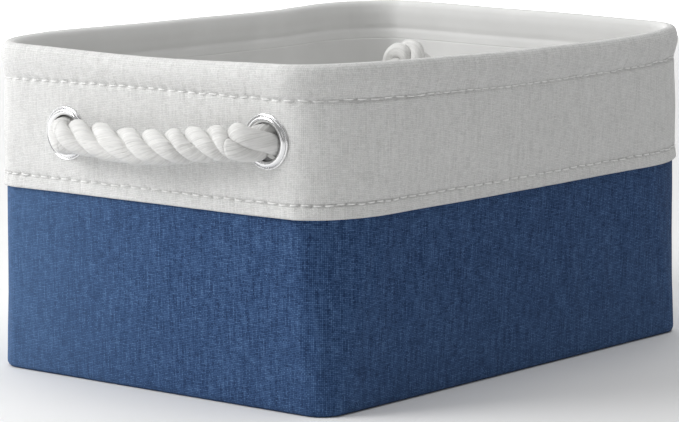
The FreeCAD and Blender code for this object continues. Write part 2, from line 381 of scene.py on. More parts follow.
def column_table():
    """Weights that give x and y of a dense ring of wall columns from the bin's plan sizes."""
    rows = []
    steps = TABLE_STEPS
    share = np.arange(steps) / steps
    run = 2.0 * share - 1.0
    turn = share * math.pi / 2.0
    ones = np.ones(steps)
    for sx, sy in ((1, 1), (-1, 1), (-1, -1), (1, -1)):
        lead = sx * sy > 0
        if lead:
            rows.append((ones * sx, ones * 0.0, run * sx, -run * sx))
            kx, ky = np.cos(turn), np.sin(turn)
        else:
            rows.append((run * -sy, run * sy, ones * sy, ones * 0.0))
            kx, ky = np.sin(turn), np.cos(turn)
        rows.append((ones * sx, sx * (kx - 1.0), ones * sy, sy * (ky - 1.0)))
    return np.concatenate([np.array(r, float) for r in rows], axis=1)


def plan_sizes(z, depth):
    """Half length, half width and the two corner sizes at height z, depth below the cuff's face."""
    return [low + (high - low) * z / HEIGHT - depth for low, high in zip(FLOOR_SIZES, RIM_SIZES)]


TABLE = column_table()


def flat_xy(weights, z, depth):
    """x and y of wall columns, in mm."""
    a, b, p, q = plan_sizes(z, depth)
    return weights[0] * a + weights[1] * p, weights[2] * b + weights[3] * q


def measure_columns():
    """Distance of each tabled column round the bin, and the whole distance."""
    x, y = flat_xy(TABLE, HANDLE_MIDDLE_Z, 0.0)
    steps = np.hypot(np.diff(np.append(x, x[0])), np.diff(np.append(y, y[0])))
    ends = np.cumsum(steps)
    return np.concatenate([[0.0], ends[:-1]]), float(ends[-1])


TABLE_S, ROUND = measure_columns()
PITCH = ROUND / STITCHES


def columns_at(s):
    """Column weights at distances round the bin."""
    return np.array([np.interp(s, TABLE_S, row, period=ROUND) for row in TABLE])


def nearest_s(x, y):
    """Distance round the bin of the wall column nearest a plan point."""
    tx, ty = flat_xy(TABLE, HANDLE_MIDDLE_Z, 0.0)
    return float(TABLE_S[np.argmin(np.hypot(tx - x, ty - y))])


def round_gap(s, centre):
    """Distance along the wall from a place round the bin, the short way."""
    return (s - centre + ROUND / 2.0) % ROUND - ROUND / 2.0


def hump(x, width):
    """Smooth bump of height one."""
    return np.exp(-((x / width) ** 2))


def soft_waves(seed, shortest, longest, count, tall):
    """A smooth random surface over s and z that meets itself round the bin."""
    rng = np.random.default_rng(seed)
    turns = rng.integers(int(ROUND / longest), int(ROUND / shortest) + 1, count)
    rates = rng.uniform(-1.0, 1.0, count) * TAU / tall
    phases = rng.uniform(0.0, TAU, count)
    sizes = rng.uniform(0.4, 1.0, count) / math.sqrt(count)

    def surface(s, z):
        total = 0.0
        for n, rate, phase, size in zip(turns, rates, phases, sizes):
            total = total + size * np.cos(TAU * n * s / ROUND + rate * z + phase)
        return total

    return surface


SLACK = soft_waves(3, 70.0, 260.0, 9, 210.0)
RIPPLE = soft_waves(11, 16.0, 60.0, 26, 60.0)
CREASE = soft_waves(23, 9.0, 22.0, 30, 25.0)


# ---- handle axes


def handle_axes(end):
    """Matrix from handle axes (out, rear eyelet to front eyelet, up) to the CAD frame, in mm."""
    lean = math.atan2(RIM_SIZES[0] - FLOOR_SIZES[0], HEIGHT)
    up = Vector((-math.sin(lean), 0.0, math.cos(lean)))
    out = Vector((-math.cos(lean), 0.0, -math.sin(lean)))
    tilt = math.asin(EYELET_DROP / EYELET_SPAN)
    along = Vector((0.0, -math.cos(tilt), 0.0)) + up * math.sin(tilt)
    wall_x = -plan_sizes(HANDLE_MIDDLE_Z, 0.0)[0]
    turn = Matrix((out, along, out.cross(along))).transposed().to_4x4()
    axes = Matrix.Translation((wall_x, HANDLE_MIDDLE_Y, HANDLE_MIDDLE_Z)) @ turn
    return Matrix.Scale(-1.0, 4, (1.0, 0.0, 0.0)) @ axes if end == "right" else axes


def to_frame(end, points):
    """Points in handle axes moved to the CAD frame, in metres."""
    axes = np.array(handle_axes(end))
    return (points @ axes[:3, :3].T + axes[:3, 3]) * MM


def eyelet_v(side):
    """Place of an eyelet along its handle."""
    return EYELET_SPAN / 2.0 if side == "front" else -EYELET_SPAN / 2.0


def eyelet_centres():
    """(s, z) of the four eyelets on the wall."""
    centres = []
    for end in ("left", "right"):
        for side in ("rear", "front"):
            x, y, z = to_frame(end, np.array([[0.0, eyelet_v(side), 0.0]]))[0] / MM
            centres.append((nearest_s(x, y), z))
    return centres


EYELETS = eyelet_centres()
CORNERS = [float(TABLE_S[QUARTER * k + TABLE_STEPS * 3 // 2]) for k in range(4)]
WALL_MIDDLES = [float(TABLE_S[QUARTER * k + TABLE_STEPS // 2]) for k in range(4)]
# Corner round which painted light brightens the blue most
PAINTED_LIGHT_CORNER = CORNERS[1]


def away_from_eyelets(s, z, reach):
    """Zero at the eyelets, one well away from them."""
    share = 1.0
    for centre_s, centre_z in EYELETS:
        distance = np.hypot(round_gap(s, centre_s), z - centre_z)
        share = share * (1.0 - hump(distance, reach))
    return share


def sway(s, z):
    """How far the whole soft wall stands out from its flat shape."""
    tall = np.sin(math.pi * np.clip(z / HEIGHT, 0.0, 1.0)) ** 0.7
    return 0.9 * SLACK(s, z) * tall * away_from_eyelets(s, z, 24.0)


def eased(s, places, values):
    """Value that eases from one place round the bin to the next."""
    order = np.argsort(places)
    places, values = np.array(places)[order], np.array(values)[order]
    lap = np.concatenate([places, [places[0] + ROUND]])
    ends = np.concatenate([values, [values[0]]])
    at = np.where(s % ROUND < places[0], s % ROUND + ROUND, s % ROUND)
    k = np.clip(np.searchsorted(lap, at, side="right") - 1, 0, len(places) - 1)
    share = np.clip((at - lap[k]) / (lap[k + 1] - lap[k]), 0.0, 1.0)
    share = share * share * (3.0 - 2.0 * share)
    return ends[k] + (ends[k + 1] - ends[k]) * share


def rim_lift(s, z):
    """Soft rise and fall of the rim from place to place, growing from nothing at the cuff's edge."""
    share = np.clip((z - CUFF_BOTTOM) / (HEIGHT - CUFF_BOTTOM), 0.0, 1.0) ** 1.5
    front_late = WALL_MIDDLES[3] + 0.5 * (CORNERS[3] - WALL_MIDDLES[3])
    before = CORNERS[0] - 0.35 * (CORNERS[0] - WALL_MIDDLES[0])
    after = CORNERS[0] + 0.35 * (WALL_MIDDLES[1] - CORNERS[0])
    places = WALL_MIDDLES + CORNERS + [front_late, before, after]
    values = (0.9, -0.2, -0.9, -1.3, 1.5, 0.8, 1.2, -1.0, -1.9, 1.9, -0.7)
    return share * eased(s, places, values)


def seam_drift(s, z):
    """How far a stitch row wanders from its level."""
    wander = 0.25 * RIPPLE(s, 0.0 * s)
    hem = eased(s, WALL_MIDDLES + CORNERS, (0.0, 0.0, 2.4, 0.0, 0.0, 0.0, 0.9, 1.3))
    return wander + np.where(z > 130.0, hem, -0.6)


def place(s, z, depth):
    """Points on the soft wall at distance s round it, height z and depth, in metres."""
    weights = columns_at(s)
    x, y = flat_xy(weights, z, depth - sway(s, z))
    return np.stack(np.broadcast_arrays(x, y, z + rim_lift(s, z)), axis=-1) * MM


# ---- mesh building


def mesh_object(name, points, faces, uv, material, body):
    """Object on a CAD body from points, quads and flat coordinates for each face corner."""
    mesh = bpy.data.meshes.new(name)
    mesh.from_pydata(points.reshape(-1, 3), [], faces)
    if uv is not None:
        layer = mesh.uv_layers.new(name="flat")
        layer.data.foreach_set("uv", np.asarray(uv, np.float32).ravel())
    mesh.polygons.foreach_set("use_smooth", np.ones(len(mesh.polygons), bool))
    mesh.materials.append(material)
    mesh.update()
    item = show(name, mesh)
    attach(item, body)
    return item


def grid_cells(rows, columns, closed_rows, closed_columns):
    """Row and column numbers of the four corners of each cell of a grid."""
    i = np.arange(rows if closed_rows else rows - 1)
    j = np.arange(columns if closed_columns else columns - 1)
    i, j = (part.ravel() for part in np.meshgrid(i, j, indexing="ij"))
    return np.stack([i, i, i + 1, i + 1], 1), np.stack([j, j + 1, j + 1, j], 1)


def sheet_rows(s, z, depth, lean, relief, thickness):
    """Rows up a sheet's outer face, over its edge, down its inner face and round its lower edge."""
    out = np.broadcast_to(relief(s[None, :], z, lean), (len(z), len(s)))

    def face(stand):
        return place(s[None, :], z + stand * np.sin(lean), depth + stand * -np.cos(lean))

    outer = face(out)
    inner = face(np.maximum(out, -INNER_DIP) - thickness)
    top = (outer[-1] + inner[-1]) / 2.0 + (outer[-1] - outer[-2]) * EDGE_BULGE
    bottom = (outer[0] + inner[0]) / 2.0 + (outer[0] - outer[1]) * EDGE_BULGE
    return np.concatenate([outer, top[None], inner[::-1], bottom[None]])


def sheet_uv(points, s, z, depth, ci, cj):
    """Flat coordinates of each face corner: along the wall, and up the sheet and back down."""
    path = np.concatenate([[0.0], np.cumsum(np.hypot(np.diff(z[:, 0]), np.diff(depth[:, 0])))])
    height = np.concatenate([path, [path[-1] + 0.5], path[::-1], [path[0] - 0.5]])
    row = ci % len(points)
    wall = wall_of(s)[cj[:, :1] % len(s)]
    return np.stack([along_walls(points, s)[row, cj, wall], height[row] * MM], -1)


def cloth_ring(name, z, depth, lean, relief, thickness, per_stitch, material, body, holes=False,
               shade=None):
    """Closed sheet round the bin. lean is the angle of its face from outward (0) over to inward."""
    s = np.arange(STITCHES * per_stitch) * (PITCH / per_stitch)
    z, depth, lean = z[:, None], depth[:, None], lean[:, None]
    points = sheet_rows(s, z, depth, lean, relief, thickness)
    total = len(points)
    ci, cj = grid_cells(total, len(s), True, True)
    keep = np.ones(len(ci), bool)
    sides = []
    if holes:
        keep, sides = pierce(s, z[:, 0], ci, cj)
    faces = ((ci % total) * len(s) + cj % len(s))[keep]
    uv = sheet_uv(points, s, z, depth, ci, cj)[keep]
    if len(sides):
        faces = np.concatenate([faces, sides])
        uv = np.concatenate([uv, np.zeros((len(sides), 4, 2))])
    ring = mesh_object(name, points, faces, uv, material, body)
    tint = ring.data.attributes.new("tint", "FLOAT", "POINT")
    tints = np.zeros((total, len(s)), np.float32)
    if shade:
        tints[:len(z)] = shade(s[None, :], z, lean)
    tint.data.foreach_set("value", tints.ravel())
    return ring


def wall_of(s):
    """Which wall each column belongs to, changing in the middle of each corner."""
    return np.searchsorted(CORNERS, s) % 4


def along_walls(points, s):
    """Distance along each row from the middle of each wall, so that yarns stay upright on all four."""
    ring = np.concatenate([points, points[:, :1]], axis=1)
    steps = np.linalg.norm(np.diff(ring[:, :, :2], axis=1), axis=2)
    run = np.concatenate([np.zeros((len(points), 1)), np.cumsum(steps, axis=1)], axis=1)
    walls = []
    for k, middle in enumerate(WALL_MIDDLES):
        centre = int(np.argmin(np.abs(s - middle)))
        distance = run - run[:, centre:centre + 1]
        if k == 0:
            late = np.arange(run.shape[1]) > len(s) // 2
            distance = np.where(late[None, :], distance - run[:, -1:], distance)
        walls.append(distance + middle * MM)
    return np.stack(walls, axis=-1)


def pierce(s, z, ci, cj):
    """Cells kept outside the eyelet barrels, and the quads that line the holes left."""
    rows = len(z)
    count = len(s)
    mid_z = (z[:-1] + z[1:]) / 2.0
    mid_s = s + s[1] / 2.0
    gone = np.zeros((rows - 1, count), bool)
    for centre_s, centre_z in EYELETS:
        along = round_gap(mid_s, centre_s)[None, :]
        gone |= np.hypot(along, mid_z[:, None] - centre_z) < HOLE_RADIUS
    gone[z[:-1] > HEM_FLAP_BOTTOM] = False
    row, column = ci[:, 0], cj[:, 0]
    outside = row < rows - 1
    inside = (row > rows) & (row < 2 * rows)
    keep = np.ones(len(ci), bool)
    keep[outside] = ~gone[row[outside], column[outside]]
    keep[inside] = ~gone[2 * rows - 1 - row[inside], column[inside]]
    sides = []
    for i, j in zip(*np.nonzero(gone)):
        corners = [(i, j), (i, (j + 1) % count), (i + 1, (j + 1) % count), (i + 1, j)]
        beside = [(i - 1, j), (i, (j + 1) % count), (i + 1, j), (i, j - 1)]
        for n in range(4):
            if not gone[beside[n]]:
                a, b = corners[n], corners[(n + 1) % 4]
                sides.append([a[0] * count + a[1], b[0] * count + b[1],
                              (2 * rows - b[0]) * count + b[1], (2 * rows - a[0]) * count + a[1]])
    return keep, np.array(sides, int)


# Row spacing of canvas and of the layers behind it
FINE_STEP = 1.3
LAYER_STEP = 2.0


def rows_between(low, high, step, fine_at=(), fine_step=0.45, reach=3.2):
    """Row heights, closer together near the heights in fine_at."""
    heights = [low]
    while heights[-1] < high - 0.01:
        near = any(abs(heights[-1] - fine) < reach for fine in fine_at)
        heights.append(min(high, heights[-1] + (fine_step if near else step)))
    return np.array(heights)


def revolve(name, profile, segments, end, side, material, body):
    """Closed outline of (distance outward, radius) turned about the axis of one eyelet."""
    profile = np.array(profile, float)
    angle = np.arange(segments) * TAU / segments
    along = np.broadcast_to(profile[:, :1], (len(profile), segments))
    points = np.stack([along, profile[:, 1:] * np.cos(angle), profile[:, 1:] * np.sin(angle)], -1)
    ci, cj = grid_cells(len(profile), segments, True, True)
    faces = (ci % len(profile)) * segments + cj % segments
    points = to_frame(end, points.reshape(-1, 3) + np.array([0.0, eyelet_v(side), 0.0]))
    return mesh_object(name, points, faces, None, material, body)


# ---- cloth


# Dips, folds and swellings of the cuff
HOLE_DEPTH = 0.55
PUCKER = 0.16
HEM_PUFF = 2.4
HEM_PUFF_Z = 163.0
BELLY = 0.6
BELLY_Z = 126.0
FLARE = 1.0
SEAM_DENT = 0.35
HEM_DENT = 0.8
INSIDE_PUFF = 0.9
INSIDE_PUFF_Z = 164.0
INSIDE_SINK = 0.3
INSIDE_SINK_Z = 158.0
INSIDE_CREASE = 0.5
INSIDE_CREASE_Z = 154.5


def row_notch(s, z, at, depth):
    """Dip along a row of stitches, deeper at each needle hole, with puckers running off it."""
    gap = hole_gap(s)
    at = at + seam_drift(s, at)
    line = -depth * hump(z - at, 1.5)
    hole = -HOLE_DEPTH * hump(gap, 0.8) * hump(z - at, 0.75)
    pucker = -PUCKER * np.cos(TAU * s / PITCH) * hump(z - at, 3.6)
    return line + hole + pucker


def hole_gap(s):
    """Distance along the wall to the nearest needle hole."""
    gap = s % PITCH
    return np.minimum(gap, PITCH - gap)


def cuff_relief(s, z, lean):
    """How far the cuff's own face stands out, over its flat shape."""
    outward = np.cos(lean)
    outer = np.clip(outward, 0.0, 1.0)
    inner = np.clip(-outward, 0.0, 1.0)
    hem = HEM_PUFF * hump(z - HEM_PUFF_Z, 6.5)
    belly = BELLY * hump(z - BELLY_Z, 17.0) * away_from_eyelets(s, z, 20.0)
    flare = FLARE * np.clip((SEAM_Z - z) / (SEAM_Z - CUFF_BOTTOM), 0.0, 1.0)
    notches = row_notch(s, z, SEAM_Z, SEAM_DENT) + row_notch(s, z, HEM_STITCH_Z, HEM_DENT)
    fine = (0.16 * RIPPLE(s, z) + 0.07 * CREASE(s, z)) * away_from_eyelets(s, z, 15.0)
    sink = INSIDE_SINK * np.clip((INSIDE_SINK_Z - z) / 3.0, 0.0, 1.0)
    channel = INSIDE_PUFF * hump(z - INSIDE_PUFF_Z, 5.0) - sink
    inside = channel - INSIDE_CREASE * hump(z - INSIDE_CREASE_Z, 1.4) + 0.06 * RIPPLE(s, z)
    return outer * (hem + belly + flare + notches + fine) + inner * inside


def cuff_shade(s, z, lean):
    """Painted shadow in the needle holes, and a little painted shade along the dips of the stitch rows."""
    gap = hole_gap(s)
    seam = z - SEAM_Z - seam_drift(s, SEAM_Z)
    hem = z - HEM_STITCH_Z - seam_drift(s, HEM_STITCH_Z)
    holes = hump(gap, 0.6) * (0.3 * hump(seam, 0.6) + 0.12 * hump(hem, 0.6))
    # Painted shade along the stitch rows, where the cloth dips
    rows = 0.03 * (hump(seam, 1.6) + hump(hem, 1.6))
    return np.clip(holes + rows, 0.0, 1.0) * np.cos(lean).clip(0.0, 1.0)


def body_painted_light_and_tint(s, z, lean):
    """How far the blue is lightened: painted light most round one corner, and a little low on the walls
    away from it.
    """
    swing = 0.5 + 0.5 * np.cos(TAU * round_gap(s, PAINTED_LIGHT_CORNER) / ROUND)
    low = np.clip(1.0 - z / 70.0, 0.0, 1.0)
    # First term: painted light, brightest where the key light falls strongest; second: lighter low on the
    # other walls
    return 0.38 * swing**14 + 0.12 * (1.0 - swing) * low


def cuff_profile():
    """Rows up the outside of the cuff, over the rim and down inside to the end of the hem."""
    up = rows_between(CUFF_BOTTOM, CROWN_Z, FINE_STEP, (SEAM_Z, HEM_STITCH_Z))
    turn = np.linspace(0.0, math.pi, 17)[1:-1]
    down = rows_between(HEM_FLAP_BOTTOM, CROWN_Z, FINE_STEP, (HEM_STITCH_Z,))[::-1]
    z = np.concatenate([up, CROWN_Z + CROWN_RADIUS * np.sin(turn), down])
    depth = np.concatenate([0.0 * up, CROWN_RADIUS * (1.0 - np.cos(turn)), 0.0 * down + HEM_DEPTH])
    lean = np.concatenate([0.0 * up, turn, 0.0 * down + math.pi])
    return z, depth, lean


# Lean past which the cuff shows its facing
FACING_LEAN = 0.6 * math.pi


def add_cuff(material, facing):
    """White canvas cuff with its rolled hem, faced inside with the lining cloth."""
    z, depth, lean = cuff_profile()
    cuff = cloth_ring("cuff_canvas", z, depth, lean, cuff_relief, CANVAS_THICKNESS, CUFF_COLUMNS, material,
                      "cuff", holes=True, shade=cuff_shade)
    cuff.data.materials.append(facing)
    first_row = int(np.argmax(lean > FACING_LEAN))
    row = np.array([face.vertices[0] for face in cuff.data.polygons]) // (STITCHES * CUFF_COLUMNS)
    marks = ((row >= first_row) & (row < len(z))).astype(np.int32)
    cuff.data.polygons.foreach_set("material_index", marks)
    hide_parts("cuff_band")
    return cuff


def body_relief(s, z, lean):
    """Soft unevenness of the blue wall, with its rounded bottom edge."""
    free = np.clip((CUFF_BOTTOM - z) / 20.0, 0.0, 1.0) * np.clip(z / 20.0, 0.0, 1.0)
    return free * (0.30 * RIPPLE(s, z) + 0.05 * CREASE(s, z)) - bottom_round(z)


def bottom_round(z):
    """How far the bottom edge curves in."""
    under = np.clip(BOTTOM_RADIUS - z, 0.0, BOTTOM_RADIUS)
    return BOTTOM_RADIUS - np.sqrt(BOTTOM_RADIUS**2 - under**2)


def add_base_panel(material):
    """Blue panel under the bin, its edge curving on from the walls."""
    heights = np.array([0.0, 0.06, 0.2, 0.4, 0.7, 1.0])
    s = np.arange(STITCHES * PANEL_COLUMNS) * (PITCH / PANEL_COLUMNS)
    depth = BODY_DEPTH + bottom_round(heights)
    depth[0] += 0.2
    rings = place(s[None, :], heights[:, None], depth[:, None])
    rows, count = rings.shape[:2]
    ci, cj = grid_cells(rows, count, False, True)
    faces = (ci * count + cj % count).tolist()
    faces.append(list(range(count))[::-1])
    faces.append([(rows - 1) * count + k for k in range(count)])
    panel = mesh_object("base_panel", rings, faces, None, material, "base")
    panel.data.polygons[-1].use_smooth = False
    panel.data.polygons[-2].use_smooth = False
    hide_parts("base_fabric")


def plain_relief(s, z, lean):
    """Layer that only follows the wall's own sway."""
    return 0.0 * s * z


def lining_relief(s, z, lean):
    """Slight puckering of the lining, seen from inside."""
    return -0.12 * RIPPLE(s, z) * np.clip((z - 6.0) / 20.0, 0.0, 1.0)


def lining_fullness(z):
    """Thickness of the upper lining, fuller where it meets the hem so that the two lie flush."""
    return LINING_THICKNESS + 0.7 * hump(z - HEM_FLAP_BOTTOM, 9.0)


def wall_layer(name, low, high, depth, thickness, relief, material, body, node, holes=False,
               step=LAYER_STEP, shade=None):
    """One ring-shaped layer of the wall. thickness is a number, or a function of the height."""
    z = rows_between(low, high, step)
    flat = 0.0 * z
    if callable(thickness):
        thickness = thickness(z)[:, None]
    layer = cloth_ring(name, z, flat + depth, flat, relief, thickness, LAYER_COLUMNS, material, body,
                       holes=holes, shade=shade)
    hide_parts(node)
    return layer


# Share of its height that the lower wall keeps when the rim is pushed right down
CANVAS_KEEP = 0.345
LAYER_KEEP = 0.4


def add_lower_wall(blue, grey, lining):
    """The lower part of the wall, reaching up under the cuff."""
    body = wall_layer("body_canvas", LAYER_BOTTOM, BODY_TOP, BODY_DEPTH, CANVAS_THICKNESS, body_relief,
                      blue, "base", "body_fabric", step=FINE_STEP, shade=body_painted_light_and_tint)
    pad = wall_layer("lower_felt", LAYER_BOTTOM, LOWER_TOP, PADDING_DEPTH, FELT_THICKNESS, plain_relief,
                     grey, "base", "wall_padding")
    inner = wall_layer("lower_lining", LINING_BOTTOM, LOWER_TOP, LINING_DEPTH, LINING_THICKNESS,
                       lining_relief, lining, "base", "wall_lining")
    for layer, keep in ((body, CANVAS_KEEP), (pad, LAYER_KEEP), (inner, LAYER_KEEP)):
        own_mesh(layer)


def add_upper_wall(grey, lining):
    """Felt and lining behind the cuff."""
    wall_layer("upper_felt", UPPER_BOTTOM, PADDING_TOP, PADDING_DEPTH, FELT_THICKNESS, plain_relief,
               grey, "cuff", "cuff_padding", holes=True)
    wall_layer("upper_lining", UPPER_BOTTOM, UPPER_LINING_TOP, LINING_DEPTH, lining_fullness,
               lining_relief, lining, "cuff", "cuff_lining", holes=True)


# ---- stitches


def stitch_loops(z, depth, side, relief, rng):
    """Rings of points round the thread of each stitch of a row, on one face of the wall."""
    share = np.linspace(0.0, 1.0, THREAD_STEPS)
    starts = np.arange(STITCHES) * PITCH + (PITCH - STITCH_LENGTH) / 2.0
    s = starts[:, None] + share[None, :] * (STITCH_LENGTH + 2.0 * STITCH_OVERRUN) - STITCH_OVERRUN
    shift = rng.normal(0.0, 0.12, (STITCHES, 1))
    slant = rng.normal(0.0, 0.1, (STITCHES, 1))
    level = z + seam_drift(s, z)
    arch = 0.95 * (1.0 - np.abs(2.0 * share - 1.0) ** 4) - 0.6
    lean = np.zeros_like(s) + (0.0 if side > 0 else math.pi)
    stand = relief(s, level, lean) + arch
    height = level + (shift + slant * (share - 0.5))
    middle = place(s, height, depth - side * stand)
    out = place(s, height, depth - side * (stand + 1.0)) - middle
    out /= np.linalg.norm(out, axis=-1, keepdims=True)
    along = np.gradient(middle, axis=1)
    along /= np.linalg.norm(along, axis=-1, keepdims=True)
    rise = np.cross(along, out)
    angle = np.arange(THREAD_SIDES) * TAU / THREAD_SIDES
    narrowed = np.where((share < 0.01) | (share > 0.99), 0.3, 1.0)
    radius = THREAD_RADIUS * MM * narrowed[None, :, None, None]
    around = np.cos(angle)[:, None] * out[:, :, None] * side + np.sin(angle)[:, None] * rise[:, :, None]
    return middle[:, :, None] + around * radius


def stitch_faces(count):
    """Faces of a number of closed stitches, one after another."""
    ci, cj = grid_cells(THREAD_STEPS, THREAD_SIDES, False, True)
    one = (ci * THREAD_SIDES + cj % THREAD_SIDES)[:, ::-1]
    size = THREAD_STEPS * THREAD_SIDES
    faces = []
    for base in range(0, count * size, size):
        faces.extend((one + base).tolist())
        faces.append([base + k for k in range(THREAD_SIDES)])
        faces.append([base + size - 1 - k for k in range(THREAD_SIDES)])
    return faces


def stitch_row(name, z, sides, material, node):
    """Row of thread stitches on the faces of the wall given as (depth, side, relief)."""
    rng = np.random.default_rng(5)
    points = np.concatenate([stitch_loops(z, depth, side, relief, rng) for depth, side, relief in sides])
    row = mesh_object(name, points, stitch_faces(len(points)), None, material, "cuff")
    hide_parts(node)


def add_stitching(material):
    """The two rows of stitches; only the lower one comes through to the inside."""
    stitch_row("hem_stitches", HEM_STITCH_Z, [(0.0, 1, cuff_relief)], material, "hem_stitching")
    inner_face = (LINING_DEPTH + LINING_THICKNESS, -1, plain_relief)
    stitch_row("cuff_stitches", SEAM_Z, [(0.0, 1, cuff_relief), inner_face], material, "cuff_stitching")


# ---- eyelets


BARREL_RADIUS = 9.9
BEAD_RADIUS = 13.6
WASHER_BACK = -(LINING_DEPTH + LINING_THICKNESS + 0.1 + 0.8 + 0.1)


def half_round(start, height, centre, reach, count):
    """Half an oval of (distance along, radius), standing up from start."""
    turns = np.linspace(0.0, math.pi, count)
    return [(start + height * math.sin(t), centre + reach * math.cos(t)) for t in turns]


def eyelet_profile():
    """Bead at the rim, a groove, the broad rolled face, the barrel and the lip inside."""
    dome = half_round(0.2, 1.8, 10.95, -1.75, 17)
    bead = half_round(0.15, 0.8, 13.3, -0.5, 11)
    lip = half_round(WASHER_BACK, -0.75, 10.75, 1.15, 11)
    barrel = [(WASHER_BACK, BARREL_RADIUS), (0.05, BARREL_RADIUS), (0.05, BEAD_RADIUS)]
    return barrel + bead[::-1] + dome[::-1] + lip[::-1][1:]


def add_eyelets(end, metal, bore):
    """Eyelets of one end, darker and rougher along the bore and where the face turns into it: painted
    shade.
    """
    for side in ("rear", "front"):
        ring = revolve(f"{end}_{side}_eyelet_ring", eyelet_profile(), EYELET_SEGMENTS, end, side,
                       metal, "cuff")
        ring.data.materials.append(bore)
        # Dark metal in the bore: painted shade
        for face in ring.data.polygons:
            if face.index // EYELET_SEGMENTS in BORE_ROWS:
                face.material_index = 1
        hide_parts(f"{end}_{side}_eyelet")


# ---- rope


def strand_radius(angle):
    """Distance to the surface of three puffy strands, as a share of the rope's radius."""
    offset, deep, wide = 0.55, 0.46, 0.58
    best = np.zeros_like(angle)
    for k in range(3):
        turn = angle - k * TAU / 3.0
        c, n = np.cos(turn), np.sin(turn)
        qa = c * c / deep**2 + n * n / wide**2
        qb = -2.0 * offset * c / deep**2
        qc = offset**2 / deep**2 - 1.0
        root = qb * qb - 4.0 * qa * qc
        reach = np.where(root > 0.0, (-qb + np.sqrt(np.maximum(root, 0.0))) / (2.0 * qa), 0.0)
        best = np.maximum(best, reach)
    return best


# Distances along the rope from the rear join, and the thirds of a turn its strands have made by there
CRESTS = (-42.0, -24.0, -7.0, 8.2, 25.0, 46.8, 62.1, 77.0, 87.3, 102.1, 113.3, 119.5, 131.0, 149.0)
THIRDS = (*range(11), 10.45, 11, 12)
END_SPACING = 18.0
CREST_TURN = 1.75
ELBOW_MIDDLE = 7.9
ELBOW_WIDTH = 6.0
REAR_PRESS = 0.45
FRONT_PRESS = 0.28
LOOSE_STRAND = 118.0
LOOSE_SWELL = 0.2
FIBRE_RIDGES = 13.0
FIBRE_HEIGHT = 0.14


def strand_turn(distance):
    """Angle of the first strand along the rope, in radians."""
    places = np.array(CRESTS)
    count = np.interp(distance, places, THIRDS)
    before = (distance < places[0]) * (distance - places[0]) / END_SPACING
    after = (distance > places[-1]) * (distance - places[-1]) / END_SPACING
    return CREST_TURN - (count + before + after) * TAU / 3.0


def press_flat(sideways, distance):
    """Outer side of the rope flattened where it turns hard at the eyelets."""
    rear = REAR_PRESS * hump(distance + ELBOW_MIDDLE, ELBOW_WIDTH)
    front = FRONT_PRESS * hump(distance - ARCH_LENGTH - ELBOW_MIDDLE, ELBOW_WIDTH)
    return np.where(sideways > 0.0, sideways * (1.0 - (rear + front)), sideways)


def rope_outline(distance, lay, girth, in_handle):
    """How far the rope's surface stands sideways and upward from its centreline, ring by ring."""
    angle = (np.arange(ROPE_SIDES) * TAU / ROPE_SIDES)[None, :]
    turn = strand_turn(distance)[:, None]
    distance = distance[:, None]
    ridges = FIBRE_HEIGHT * np.abs(np.sin(FIBRE_RIDGES * (angle - FIBRE_TWIST * distance)))
    radius = ROPE_RADIUS * strand_radius(lay * angle - turn) * girth[:, None] + ridges
    sideways = radius * np.cos(angle)
    upward = radius * np.sin(angle)
    if in_handle:
        own = (lay * angle - turn - TAU / 3.0 + math.pi) % TAU - math.pi
        swell = 1.0 + LOOSE_SWELL * hump(distance - LOOSE_STRAND, 5.5) * hump(own, 0.9)
        sideways = press_flat(sideways * swell, distance)
        upward = upward * swell
    return sideways, upward


def rope_faces(distance):
    """Faces of a closed rope skin, and the flat coordinates of their corners."""
    rows = len(distance)
    ring = ROPE_SIDES
    ci, cj = grid_cells(rows, ring, False, True)
    faces = (ci * ring + cj % ring).tolist()
    uv = np.stack([distance[ci], (cj * TAU / ring - FIBRE_TWIST * distance[ci]) * ROPE_RADIUS], -1) * MM
    uv = uv.reshape(-1, 2).tolist()
    for j in range(ring):
        faces.append([rows * ring, (j + 1) % ring, j])
        faces.append([rows * ring + 1, (rows - 1) * ring + j, (rows - 1) * ring + (j + 1) % ring])
        uv.extend([[0.0, 0.0]] * 6)
    return faces, uv


def rope_skin(name, line, ahead, distance, end, material, body, girth, up=(0.0, 0.0, 1.0), in_handle=True):
    """Closed skin of laid rope round a line in handle axes."""
    across = np.cross(ahead, np.array(up))
    across /= np.linalg.norm(across, axis=1, keepdims=True)
    rise = np.cross(across, ahead)
    sideways, upward = rope_outline(distance, -1.0 if end == "right" else 1.0, girth, in_handle)
    skin = line[:, None] + sideways[:, :, None] * across[:, None] + upward[:, :, None] * rise[:, None]
    points = np.concatenate([skin.reshape(-1, 3), line[:1], line[-1:]])
    faces, uv = rope_faces(distance)
    if end == "right":
        faces = [face[::-1] for face in faces]
    item = mesh_object(name, to_frame(end, points), faces, uv, material, body)
    return item


def spline_points(points, weights=None):
    """Points along a NURBS line through the given route, in mm."""
    curve = bpy.data.curves.new("route", "CURVE")
    curve.dimensions = "3D"
    curve.resolution_u = 48
    spline = curve.splines.new("NURBS")
    spline.points.add(len(points) - 1)
    for k, point in enumerate(points):
        spline.points[k].co = (*point, 1.0 if weights is None else weights[k])
    spline.order_u = 3
    spline.use_endpoint_u = True
    holder = bpy.data.objects.new("route", curve)
    line = bpy.data.meshes.new_from_object(holder)
    found = np.array([v.co for v in line.vertices])
    bpy.data.objects.remove(holder)
    bpy.data.curves.remove(curve)
    bpy.data.meshes.remove(line)
    return found


def even_line(points, step):
    """The same line with points at even steps, its direction and its distances."""
    lengths = np.linalg.norm(np.diff(points, axis=0), axis=1)
    travelled = np.concatenate([[0.0], np.cumsum(lengths)])
    count = int(round(travelled[-1] / step)) + 1
    at = np.linspace(0.0, travelled[-1], count)
    line = np.stack([np.interp(at, travelled, points[:, k]) for k in range(3)], 1)
    ahead = np.gradient(line, axis=0)
    ahead[0] = line[1] - line[0]
    ahead[-1] = line[-1] - line[-2]
    return line, ahead / np.linalg.norm(ahead, axis=1, keepdims=True), at


